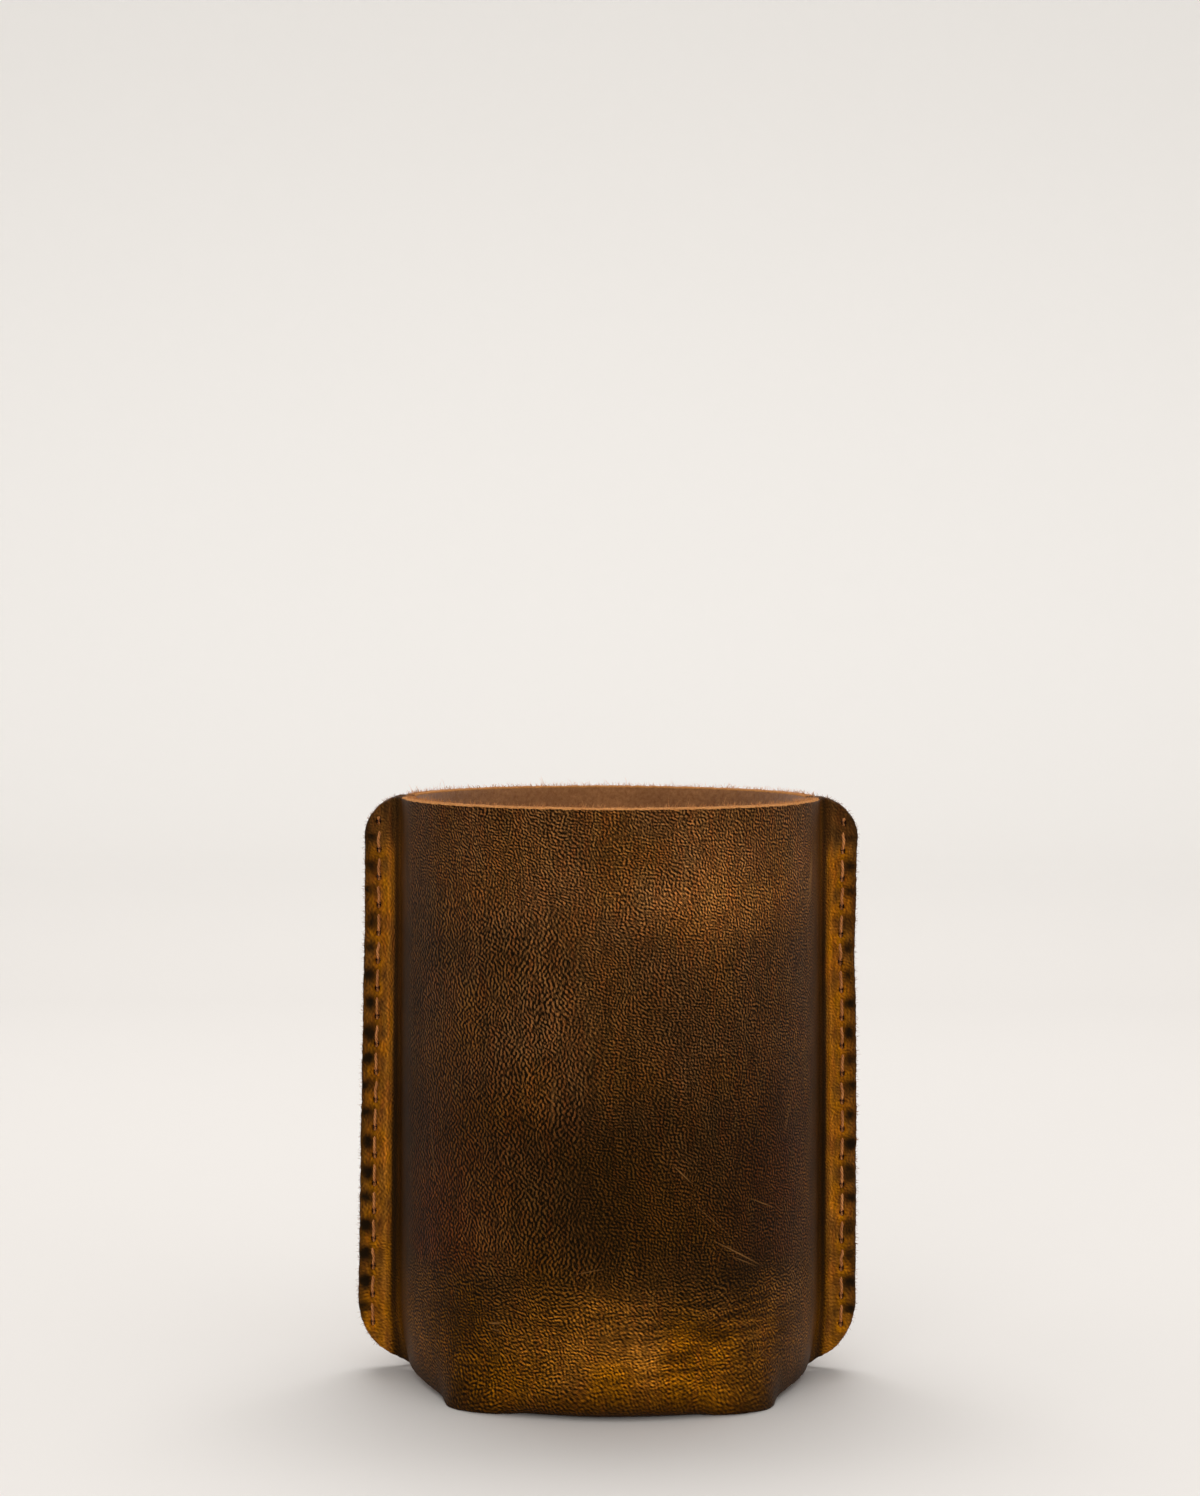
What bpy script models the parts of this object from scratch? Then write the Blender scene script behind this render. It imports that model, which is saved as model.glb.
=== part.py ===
"""Leather can cooler: a snug sleeve for one standard drinks can.

One strip of thick oiled leather makes the front wall, the strap under the can and the back wall.
The long edges of the two walls meet flesh side to flesh side in a flange down each side, and a
lockstitch of a needle thread and a bobbin thread closes each flange.

The sleeve stands on z = 0, centred on the origin. Its front faces -Y and its flanges point to +X and -X.
"""

import math

import bmesh
import bpy
from mathutils import Vector

# Driving sizes, in millimetres
CAN_DIAMETER = 66.1
CAN_CLEARANCE = 0.3
SLEEVE_HEIGHT = 97.5
LEATHER_THICKNESS = 2.2
FLANGE_WIDTH = 4.65
FLANGE_GAP = 0.3
CREASE_RADIUS = 2.4
FLANGE_TOP_RADIUS = 7.0
FLANGE_BOTTOM_RADIUS = 10.5
STRAP_WIDTH = 40.0
STRAP_CORNER_RADIUS = 3.0
BASE_FOLD_INNER_RADIUS = 1.9
WALL_LIFT_AT_STRAP = 0.5
WALL_LIFT_AT_FLANGE = 1.5
FOLD_FADE_WIDTH = 10.0
SIDE_TUCK = 2.3
SIDE_TUCK_HEIGHT = 14.0
CORNER_BULGE = 3.2
CORNER_BULGE_BESIDE_STRAP = 4.0
CORNER_BULGE_WIDTH = 8.0
CORNER_BULGE_HEIGHT = 18.0
STITCH_PITCH = 4.72
SEAM_INSET = 2.45
SEAM_TOP_MARGIN = 4.3
SEAM_BOTTOM_MARGIN = 8.2
THREAD_DIAMETER = 0.6
THREAD_CLEARANCE = 0.2
THREAD_TAIL = 0.9

# How finely round shapes are cut into flat ones
WALL_SEGMENTS = 14
CREASE_SEGMENTS = 4
FOLD_SEGMENTS = 5
FOOT_SEGMENTS = 4
CORNER_SEGMENTS = 6
SLOT_CORNER_SEGMENTS = 2

# A hairpin of thread in its slot, as shares of the spacing that keeps two threads apart
HAIRPIN_X_SHARE = 0.78
HAIRPIN_Z_SHARE = 0.84
HAIRPIN_HOOK_SHARE = 0.61
HAIRPIN_SHOULDER_SHARE = 0.11

# Sizes that follow
MM = 0.001
MERGE_DISTANCE = 0.0001
WALL_RADIUS = CAN_DIAMETER / 2 + CAN_CLEARANCE + LEATHER_THICKNESS / 2
FLANGE_OFFSET = (FLANGE_GAP + LEATHER_THICKNESS) / 2
CREASE_MID_RADIUS = CREASE_RADIUS + LEATHER_THICKNESS / 2
CREASE_CENTRE_Y = -(FLANGE_OFFSET + CREASE_MID_RADIUS)
CREASE_CENTRE_X = math.sqrt((WALL_RADIUS + CREASE_MID_RADIUS) ** 2 - CREASE_CENTRE_Y**2)
CREASE_ANGLE = math.acos(-CREASE_CENTRE_Y / (WALL_RADIUS + CREASE_MID_RADIUS))
WALL_ARC = WALL_RADIUS * CREASE_ANGLE
CREASE_ARC = CREASE_MID_RADIUS * CREASE_ANGLE
HALF_WIDTH_FLAT = WALL_ARC + CREASE_ARC + FLANGE_WIDTH
FLANGE_EDGE_X = CREASE_CENTRE_X + FLANGE_WIDTH
FOLD_RADIUS = BASE_FOLD_INNER_RADIUS + LEATHER_THICKNESS / 2
FOLD_START = FOLD_RADIUS + LEATHER_THICKNESS / 2
FOLD_ARC = FOLD_RADIUS * math.pi / 2
SEAM_X = FLANGE_EDGE_X - SEAM_INSET
FLANGE_FACE = FLANGE_OFFSET + LEATHER_THICKNESS / 2
THREAD_SPACING = THREAD_DIAMETER + THREAD_CLEARANCE
HAIRPIN_X = HAIRPIN_X_SHARE * THREAD_SPACING
HAIRPIN_Z = HAIRPIN_Z_SHARE * THREAD_SPACING
HAIRPIN_HOOK = HAIRPIN_HOOK_SHARE * THREAD_SPACING
HAIRPIN_SHOULDER = HAIRPIN_SHOULDER_SHARE * THREAD_SPACING
SLOT_CORNER_RADIUS = THREAD_DIAMETER / 2 + THREAD_CLEARANCE
TUCK_FADE_WIDTH = CREASE_ARC + FLANGE_WIDTH - SEAM_INSET - HAIRPIN_X - SLOT_CORNER_RADIUS

# Surface values: linear RGB, roughness
LEATHER_COLOUR = (0.085, 0.036, 0.012)
LEATHER_ROUGHNESS = 0.55
THREAD_COLOUR = (0.36, 0.17, 0.072)
THREAD_ROUGHNESS = 0.7


def clear_scene():
    for thing in list(bpy.data.objects):
        bpy.data.objects.remove(thing, do_unlink=True)


def new_collection(name):
    collection = bpy.data.collections.new(name)
    bpy.context.scene.collection.children.link(collection)
    return collection


def new_material(name, colour, roughness):
    material = bpy.data.materials.new(name)
    material.use_nodes = True
    shader = material.node_tree.nodes["Principled BSDF"]
    shader.inputs["Base Color"].default_value = (*colour, 1.0)
    shader.inputs["Roughness"].default_value = roughness
    shader.inputs["Metallic"].default_value = 0.0
    return material


def add_object(name, data, collection, parent=None):
    thing = bpy.data.objects.new(name, data)
    collection.objects.link(thing)
    thing.parent = parent
    return thing


def arc(centre, radius, start, end, steps):
    """Points on an arc in the flat pattern, both ends included, with angles in degrees."""
    angles = [math.radians(start + (end - start) * step / steps) for step in range(steps + 1)]
    return [(centre[0] + radius * math.cos(a), centre[1] + radius * math.sin(a)) for a in angles]


def quarter_outline():
    """A quarter of the strip, as it is cut: u runs round the can from the front centre, w runs up.

    Under the base fold w goes on down along the strap, a little past the middle of the base.
    """
    strap_edge = STRAP_WIDTH / 2
    strap_end = FOLD_START - FOLD_ARC - WALL_RADIUS
    outline = [(0.0, SLEEVE_HEIGHT)]
    top_centre = (HALF_WIDTH_FLAT - FLANGE_TOP_RADIUS, SLEEVE_HEIGHT - FLANGE_TOP_RADIUS)
    outline += arc(top_centre, FLANGE_TOP_RADIUS, 90, 0, CORNER_SEGMENTS)
    bottom_centre = (HALF_WIDTH_FLAT - FLANGE_BOTTOM_RADIUS, WALL_LIFT_AT_FLANGE + FLANGE_BOTTOM_RADIUS)
    outline += arc(bottom_centre, FLANGE_BOTTOM_RADIUS, 0, -90, CORNER_SEGMENTS)
    notch_centre = (strap_edge + STRAP_CORNER_RADIUS, WALL_LIFT_AT_STRAP - STRAP_CORNER_RADIUS)
    outline += arc(notch_centre, STRAP_CORNER_RADIUS, 90, 180, CORNER_SEGMENTS)
    outline += [(strap_edge, strap_end), (0.0, strap_end)]
    return outline


def bend_lines():
    """The u and w values at which the flat strip is creased into flat facets."""
    across = [WALL_ARC * step / WALL_SEGMENTS for step in range(1, WALL_SEGMENTS + 1)]
    across += [WALL_ARC + CREASE_ARC * step / CREASE_SEGMENTS for step in range(1, CREASE_SEGMENTS + 1)]
    along = [FOLD_START - FOLD_ARC * step / FOLD_SEGMENTS for step in range(FOLD_SEGMENTS + 1)]
    foot_step = (max(SIDE_TUCK_HEIGHT, CORNER_BULGE_HEIGHT) - FOLD_START) / FOOT_SEGMENTS
    along += [FOLD_START + foot_step * step for step in range(1, FOOT_SEGMENTS + 1)]
    return across, along


def wall_section(u, bulge):
    """Plan view of the middle of the leather: round the can, out through the crease, along the flange."""
    if u <= WALL_ARC:
        angle = u / WALL_RADIUS
        radius = WALL_RADIUS + bulge
        return radius * math.sin(angle), -radius * math.cos(angle)
    if u <= WALL_ARC + CREASE_ARC:
        angle = CREASE_ANGLE - (u - WALL_ARC) / CREASE_MID_RADIUS
        x = CREASE_CENTRE_X - CREASE_MID_RADIUS * math.sin(angle)
        return x, CREASE_CENTRE_Y + CREASE_MID_RADIUS * math.cos(angle)
    return CREASE_CENTRE_X + u - WALL_ARC - CREASE_ARC, -FLANGE_OFFSET


def faded(distance, width):
    """A smooth fall from 1 to 0 over a width."""
    share = min(max(distance / width, 0.0), 1.0)
    return 1.0 - share * share * (3.0 - 2.0 * share)


def fold_share(u):
    """How far the bottom of the wall curls under: fully at the strap, not at all near the flanges."""
    return faded(u - STRAP_WIDTH / 2 - STRAP_CORNER_RADIUS, FOLD_FADE_WIDTH)


def side_tuck(u, w):
    """How far the foot of the wall is drawn in beside the strap, where no fold holds it out."""
    share = (1.0 - fold_share(u)) * faded(u - WALL_ARC, TUCK_FADE_WIDTH)
    return SIDE_TUCK * share * max(1.0 - w / SIDE_TUCK_HEIGHT, 0.0) ** 2


def corner_bulge(u, w):
    """How far the foot of the wall stands off the can at the ends of the base fold, which is nearly straight."""
    beside = (u - STRAP_WIDTH / 2 - CORNER_BULGE_BESIDE_STRAP) / CORNER_BULGE_WIDTH
    low = min(max(1.0 - w / CORNER_BULGE_HEIGHT, 0.0), 1.0)
    return CORNER_BULGE * low**2 * math.exp(-(beside**2))


def bent(u, w):
    """The place of a point of the flat strip once the strip is formed, in millimetres."""
    x, y = wall_section(u, corner_bulge(u, w))
    x -= side_tuck(u, w)
    if w >= FOLD_START:
        return Vector((x, y, w))
    below = FOLD_START - w
    share = fold_share(u)
    angle = min(below / FOLD_RADIUS, math.pi / 2)
    inward = FOLD_RADIUS * (1.0 - math.cos(angle)) + max(below - FOLD_ARC, 0.0)
    drop = share * FOLD_RADIUS * math.sin(angle) + (1.0 - share) * below
    return Vector((x, y + share * inward, FOLD_START - drop))


def crease(bm, point, normal, **options):
    bmesh.ops.bisect_plane(
        bm,
        geom=bm.verts[:] + bm.edges[:] + bm.faces[:],
        dist=1e-5,
        plane_co=point,
        plane_no=normal,
        **options,
    )


def formed_quarter():
    """The front right quarter of the strip, bent to shape, without thickness."""
    bm = bmesh.new()
    bm.faces.new([bm.verts.new((u, w, 0.0)) for u, w in quarter_outline()])
    across, along = bend_lines()
    for u in across:
        crease(bm, (u, 0.0, 0.0), (1.0, 0.0, 0.0))
    for w in along:
        crease(bm, (0.0, w, 0.0), (0.0, 1.0, 0.0))
    for vert in bm.verts:
        vert.co = bent(vert.co.x, vert.co.y)
    crease(bm, (0.0, 0.0, 0.0), (0.0, 1.0, 0.0), clear_outer=True)
    bmesh.ops.scale(bm, vec=(MM, MM, MM), verts=bm.verts)
    mesh = bpy.data.meshes.new("leather_body")
    bm.to_mesh(mesh)
    bm.free()
    return mesh


def hole_heights():
    """Heights of the stitch holes, from the top down."""
    top = SLEEVE_HEIGHT - SEAM_TOP_MARGIN
    count = int((top - SEAM_BOTTOM_MARGIN) / STITCH_PITCH + 1e-6) + 1
    return [top - STITCH_PITCH * index for index in range(count)]


def slot_cutters(collection):
    """One rounded slot through both layers of a flange at each stitch hole, as one cutter."""
    half_x = HAIRPIN_X + SLOT_CORNER_RADIUS
    half_z = HAIRPIN_Z + SLOT_CORNER_RADIUS
    depth = 2 * (FLANGE_FACE + LEATHER_THICKNESS)
    bm = bmesh.new()
    for side in (-1, 1):
        for height in hole_heights():
            cube = bmesh.ops.create_cube(bm, size=1.0)["verts"]
            bmesh.ops.scale(bm, vec=(2 * half_x, depth, 2 * half_z), verts=cube)
            bmesh.ops.translate(bm, vec=(side * SEAM_X, 0.0, height), verts=cube)
            edges = {edge for vert in cube for edge in vert.link_edges}
            corners = [edge for edge in edges if edge.calc_length() > depth - 1e-4]
            bmesh.ops.bevel(
                bm,
                geom=corners,
                offset=SLOT_CORNER_RADIUS,
                segments=SLOT_CORNER_SEGMENTS,
                profile=0.5,
                affect="EDGES",
            )
    bmesh.ops.scale(bm, vec=(MM, MM, MM), verts=bm.verts)
    mesh = bpy.data.meshes.new("stitch_slots")
    bm.to_mesh(mesh)
    bm.free()
    cutter = add_object("stitch_slots", mesh, collection)
    cutter.hide_render = True
    cutter.display_type = "WIRE"
    return cutter


def add_leather(material, cutter, collection, parent):
    body = add_object("leather_body", formed_quarter(), collection, parent)
    body.data.materials.append(material)
    mirror = body.modifiers.new("four quarters", "MIRROR")
    mirror.use_axis = (True, True, False)
    mirror.merge_threshold = MERGE_DISTANCE
    shell = body.modifiers.new("thickness", "SOLIDIFY")
    shell.thickness = LEATHER_THICKNESS * MM
    shell.offset = 0.0
    shell.use_even_offset = True
    slots = body.modifiers.new("stitch slots", "BOOLEAN")
    slots.operation = "DIFFERENCE"
    slots.solver = "EXACT"
    slots.object = cutter


def thread_points():
    """One thread of a lockstitch, in its seam's own frame: laid on the -Y face, hooked in each slot."""
    face = -(FLANGE_FACE + THREAD_CLEARANCE + THREAD_DIAMETER / 2)
    bend = THREAD_DIAMETER / 2
    heights = hole_heights()
    points = [(0.0, face, heights[0] + HAIRPIN_Z + THREAD_TAIL)]
    for height in heights:
        upper = height + HAIRPIN_Z
        lower = height - HAIRPIN_Z
        points.append((0.0, face, upper + bend))
        points.append((0.0, face + bend, upper))
        points.append((-HAIRPIN_X, HAIRPIN_SHOULDER, upper))
        points.append((0.0, HAIRPIN_HOOK, height))
        points.append((HAIRPIN_X, HAIRPIN_SHOULDER, lower))
        points.append((0.0, face + bend, lower))
        points.append((0.0, face, lower - bend))
    points.append((0.0, face, heights[-1] - HAIRPIN_Z - THREAD_TAIL))
    return points


def thread_curve(material):
    points = thread_points()
    curve = bpy.data.curves.new("seam_thread", "CURVE")
    curve.dimensions = "3D"
    curve.bevel_depth = THREAD_DIAMETER / 2 * MM
    curve.bevel_resolution = 1
    curve.use_fill_caps = True
    spline = curve.splines.new("POLY")
    spline.points.add(len(points) - 1)
    for slot, (x, y, z) in zip(spline.points, points):
        slot.co = (x * MM, y * MM, z * MM, 1.0)
    curve.materials.append(material)
    return curve


def add_threads(material, collection, parent):
    """The needle thread shows on the front of a flange, and the bobbin thread is the same, turned round."""
    curve = thread_curve(material)
    for side, sign in (("left", -1), ("right", 1)):
        for kind, turn in (("needle", 0.0), ("bobbin", math.pi)):
            thread = add_object(f"{side}_{kind}_thread", curve, collection, parent)
            thread.location = (sign * SEAM_X * MM, 0.0, 0.0)
            thread.rotation_euler = (0.0, 0.0, turn)


def main():
    clear_scene()
    parts = new_collection("can_cooler")
    cutters = new_collection("can_cooler_cutters")
    root = add_object("can_cooler", None, parts)
    leather = new_material("leather", LEATHER_COLOUR, LEATHER_ROUGHNESS)
    thread = new_material("thread", THREAD_COLOUR, THREAD_ROUGHNESS)
    add_leather(leather, slot_cutters(cutters), parts, root)
    add_threads(thread, parts, root)


main()
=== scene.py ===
"""Looks of the leather can cooler: grain, flesh side, cut edges, stitching and loose fibres.

The leather is one strip: front wall, base strap, back wall. A point of it has a place (u, v) on
the flat strip, in millimetres: u runs across, 0 in the middle, and v runs along, SLEEVE_HEIGHT at the top
of the front wall, going down and under to the top of the back wall. w is the height that the point had
on its own wall before the base was folded. Every piece is built flat and then formed by formed().
"""

import math

import bpy
import numpy as np
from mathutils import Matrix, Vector, geometry, kdtree


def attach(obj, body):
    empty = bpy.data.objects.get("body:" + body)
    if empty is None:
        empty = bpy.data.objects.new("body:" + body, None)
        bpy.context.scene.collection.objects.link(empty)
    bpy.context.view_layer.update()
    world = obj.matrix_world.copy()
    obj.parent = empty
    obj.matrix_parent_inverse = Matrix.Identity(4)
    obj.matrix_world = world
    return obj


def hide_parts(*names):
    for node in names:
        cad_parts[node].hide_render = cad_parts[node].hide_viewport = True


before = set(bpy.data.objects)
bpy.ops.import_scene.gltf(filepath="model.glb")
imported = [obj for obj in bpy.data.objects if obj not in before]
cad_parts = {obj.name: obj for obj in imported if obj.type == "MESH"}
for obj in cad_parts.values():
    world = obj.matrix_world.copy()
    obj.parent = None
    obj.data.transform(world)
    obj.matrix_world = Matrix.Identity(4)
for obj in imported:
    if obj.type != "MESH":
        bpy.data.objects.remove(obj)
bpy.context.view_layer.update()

# Sizes of the formed strip, in millimetres. They are the solid model's, except that no light shows through
# between the flange layers (0.3 there) or under the wall (0.5 there), the tuck fades over 6.04 (6.13 there)
# and the corners droop.
CAN_DIAMETER = 66.1
CAN_CLEARANCE = 0.3
SLEEVE_HEIGHT = 97.5
LEATHER_THICKNESS = 2.2
FLANGE_WIDTH = 4.65
FLANGE_GAP = 0.06
CREASE_RADIUS = 2.4
FLANGE_TOP_RADIUS = 7.0
FLANGE_BOTTOM_RADIUS = 10.5
STRAP_WIDTH = 40.0
STRAP_CORNER_RADIUS = 3.0
BASE_FOLD_INNER_RADIUS = 1.9
WALL_LIFT_AT_STRAP = 0.15
WALL_LIFT_AT_FLANGE = 1.5
FOLD_FADE_WIDTH = 10.0
SIDE_TUCK = 2.3
SIDE_TUCK_HEIGHT = 14.0
TUCK_FADE_WIDTH = 6.04
CORNER_BULGE = 3.2
CORNER_BULGE_BESIDE_STRAP = 4.0
CORNER_BULGE_WIDTH = 8.0
CORNER_BULGE_HEIGHT = 18.0
CORNER_DROOP = 1.2
CORNER_DROOP_BESIDE_STRAP = 3.5
CORNER_DROOP_WIDTH = 7.0
CORNER_DROOP_HEIGHT = 9.0
STITCH_PITCH = 4.72
SEAM_INSET = 2.45
SEAM_TOP_MARGIN = 4.3
SEAM_BOTTOM_MARGIN = 8.2

# Sizes that follow from them
MM = 0.001
HALF_THICKNESS = LEATHER_THICKNESS / 2
WALL_RADIUS = CAN_DIAMETER / 2 + CAN_CLEARANCE + HALF_THICKNESS
FLANGE_OFFSET = FLANGE_GAP / 2 + HALF_THICKNESS
CREASE_MID_RADIUS = CREASE_RADIUS + HALF_THICKNESS
CREASE_CENTRE_Y = -(FLANGE_OFFSET + CREASE_MID_RADIUS)
CREASE_CENTRE_X = math.sqrt((WALL_RADIUS + CREASE_MID_RADIUS) ** 2 - CREASE_CENTRE_Y**2)
CREASE_ANGLE = math.acos(-CREASE_CENTRE_Y / (WALL_RADIUS + CREASE_MID_RADIUS))
WALL_ARC = WALL_RADIUS * CREASE_ANGLE
CREASE_ARC = CREASE_MID_RADIUS * CREASE_ANGLE
HALF_WIDTH_FLAT = WALL_ARC + CREASE_ARC + FLANGE_WIDTH
SEAM_U = HALF_WIDTH_FLAT - SEAM_INSET
FOLD_RADIUS = BASE_FOLD_INNER_RADIUS + HALF_THICKNESS
FOLD_START = FOLD_RADIUS + HALF_THICKNESS
FOLD_ARC = FOLD_RADIUS * math.pi / 2
STRAP_RUN = WALL_RADIUS - FOLD_RADIUS
MIDDLE_V = FOLD_START - FOLD_ARC - STRAP_RUN
TOP_HOLE = SLEEVE_HEIGHT - SEAM_TOP_MARGIN
HOLE_COUNT = int((TOP_HOLE - SEAM_BOTTOM_MARGIN) / STITCH_PITCH + 1e-6) + 1

# A level camera, from the ellipses of rim and base in the photograph: millimetres, degrees, pixels
IMAGE_SIZE = (1200, 1496)
CAMERA_PLACE = (-1.93, -512.0, 125.6)
CAMERA_ROLL = 0.2
FOCAL_PIXELS = 3005.0
HORIZON_ROW = 631.0
SENSOR = 36.0


def fall(distance, width):
    """A smooth fall from 1 to 0 over a width."""
    share = np.clip(distance / width, 0.0, 1.0)
    return 1.0 - share * share * (3.0 - 2.0 * share)


def bump_at(distance, width, power=2):
    """1 where distance is 0, falling to almost 0 beyond width. A high power makes it flat-topped."""
    return np.exp(-np.abs(distance / width) ** power)


def value_noise(x, y, seed):
    """Smooth noise from -1 to 1 with cells one unit wide."""
    table = np.random.default_rng(seed).uniform(-1.0, 1.0, (64, 64))
    column, row = np.floor(x).astype(int), np.floor(y).astype(int)
    across, along = x - column, y - row
    across, along = across**2 * (3 - 2 * across), along**2 * (3 - 2 * along)
    near = table[column % 64, row % 64] * (1 - across) + table[(column + 1) % 64, row % 64] * across
    far = table[column % 64, (row + 1) % 64] * (1 - across)
    far += table[(column + 1) % 64, (row + 1) % 64] * across
    return near * (1 - along) + far * along


def on_wall(v):
    """(w, +1 on the front half or -1 on the back half)."""
    return np.where(v >= MIDDLE_V, v, 2 * MIDDLE_V - v), np.where(v >= MIDDLE_V, 1.0, -1.0)


# How far the edge of each flange stands from its place in the solid, from the foot to the top
REACH_HEIGHTS = (0, 20, 37, 54, 71, 88, 97.5)
LEFT_REACH = (0.2, 0.2, 0.0, -0.2, -0.5, -0.6, -0.5)
RIGHT_REACH = (-0.4, -0.5, -0.4, -0.4, -0.8, -0.4, -0.3)


def flange_reach(u, w):
    left = np.interp(w, REACH_HEIGHTS, LEFT_REACH)
    right = np.interp(w, REACH_HEIGHTS, RIGHT_REACH)
    ripple = 0.08 * value_noise(w / 4.0, np.sign(u), 5)
    return (np.where(u < 0, left, right) + ripple) * (1 - fall(np.abs(u) - WALL_ARC, 7.0))


def middle_of_leather(u, v):
    """The place of the middle of the leather, for flat places u, v."""
    a = np.abs(u)
    w, face = on_wall(v)
    wall_angle = np.minimum(a, WALL_ARC) / WALL_RADIUS
    crease_angle = CREASE_ANGLE - np.clip(a - WALL_ARC, 0, CREASE_ARC) / CREASE_MID_RADIUS
    past_crease = np.maximum(a - WALL_ARC - CREASE_ARC, 0)
    on_can = a <= WALL_ARC
    low = np.clip(1 - w / CORNER_BULGE_HEIGHT, 0, 1) ** 2
    beside = a - STRAP_WIDTH / 2 - CORNER_BULGE_BESIDE_STRAP
    radius = WALL_RADIUS + CORNER_BULGE * low * bump_at(beside, CORNER_BULGE_WIDTH)
    x = np.where(
        on_can,
        radius * np.sin(wall_angle),
        CREASE_CENTRE_X - CREASE_MID_RADIUS * np.sin(crease_angle) + past_crease,
    )
    y = np.where(
        on_can,
        -radius * np.cos(wall_angle),
        CREASE_CENTRE_Y + CREASE_MID_RADIUS * np.cos(crease_angle),
    )
    folded = fall(a - STRAP_WIDTH / 2 - STRAP_CORNER_RADIUS, FOLD_FADE_WIDTH)
    tucked = (1 - folded) * fall(a - WALL_ARC, TUCK_FADE_WIDTH)
    x -= SIDE_TUCK * tucked * np.maximum(1 - w / SIDE_TUCK_HEIGHT, 0) ** 2
    x += flange_reach(u, w)
    below = np.maximum(FOLD_START - w, 0)
    angle = np.minimum(below / FOLD_RADIUS, math.pi / 2)
    under = np.clip((below - FOLD_ARC) / STRAP_RUN, 0, 1)
    y = (y + folded * FOLD_RADIUS * (1 - np.cos(angle))) * (1 - under)
    drop = folded * FOLD_RADIUS * np.sin(angle) + (1 - folded) * below
    z = np.where(w >= FOLD_START, w, FOLD_START - drop)
    droop = CORNER_DROOP * bump_at(a - STRAP_WIDTH / 2 - CORNER_DROOP_BESIDE_STRAP, CORNER_DROOP_WIDTH, 4)
    z -= droop * np.clip(1 - w / CORNER_DROOP_HEIGHT, 0, 1) ** 2 * (w > -1)
    return np.column_stack((x * np.where(u < 0, -1.0, 1.0), y * face, z))


def formed(u, v, h):
    """The place of a point h outside the middle of the leather, and the leather's outward normal there."""
    step = 0.04
    across = middle_of_leather(u + step, v) - middle_of_leather(u - step, v)
    along = middle_of_leather(u, v + step) - middle_of_leather(u, v - step)
    normal = np.cross(across, along)
    normal /= np.linalg.norm(normal, axis=1, keepdims=True)
    return middle_of_leather(u, v) + normal * h[:, None], normal


# Stitching, in millimetres
HOLE_HALF_WIDTH = 0.42
HOLE_HALF_HEIGHT = 0.62
HOLE_SIDES = 12
MARK_INSET = 1.0
MARK_HALF_WIDTH = 1.7
MARK_HALF_HEIGHT = 1.75
MARKS_FROM = 10.0
MARKS_TO = SLEEVE_HEIGHT - 6.5


def stitch_place(w):
    """(distance above the nearest hole, the same for the middle of the nearest stitch, 1 in the seam)."""
    turns = (TOP_HOLE - w) / STITCH_PITCH
    nearest_hole = np.clip(np.round(turns), 0, HOLE_COUNT - 1)
    nearest_run = np.clip(np.floor(turns), 0, HOLE_COUNT - 2) + 0.5
    from_hole = (nearest_hole - turns) * STITCH_PITCH
    from_run = (nearest_run - turns) * STITCH_PITCH
    inside = (turns > -0.3) & (turns < HOLE_COUNT - 0.7)
    return from_hole, from_run, inside.astype(float)


def presser_marks(a, w):
    """1 in the square dents that the machine's foot leaves beside every stitch."""
    _, from_run, _ = stitch_place(w)
    inset = HALF_WIDTH_FLAT - a
    uneven = 0.35 * value_noise(w / STITCH_PITCH, 0.0, 6)
    across = bump_at(inset - MARK_INSET - 0.5 * uneven, MARK_HALF_WIDTH, 2.5)
    upright = bump_at(from_run + 0.15 + uneven, MARK_HALF_HEIGHT * (1 + 0.6 * uneven), 2.5)
    return across * upright * (w > MARKS_FROM) * (w < MARKS_TO)


# How far the dark line of the crease is from the end of the wall's arc, and the places, spacing and
# depths of the relief, in millimetres
CREASE_LINE = 3.5
CREASE_DEPTH = 0.16
WRINKLE_HEIGHT = 12.5
WRINKLE_HALF_HEIGHT = 9.0
WRINKLE_SPACING = 1.75
WRINKLE_DEPTH = 0.14
STITCH_PUFF = 0.2
STITCH_GROOVE = 0.2
STITCH_PIT = 0.34
MARK_DEPTH = 0.24


def base_wrinkle_zone(u, w):
    low = bump_at(w - WRINKLE_HEIGHT, WRINKLE_HALF_HEIGHT, 4)
    return low * (0.35 + 0.65 * bump_at(u - 18.0, 16.0, 2)) * bump_at(u, 38.0, 6)


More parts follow.
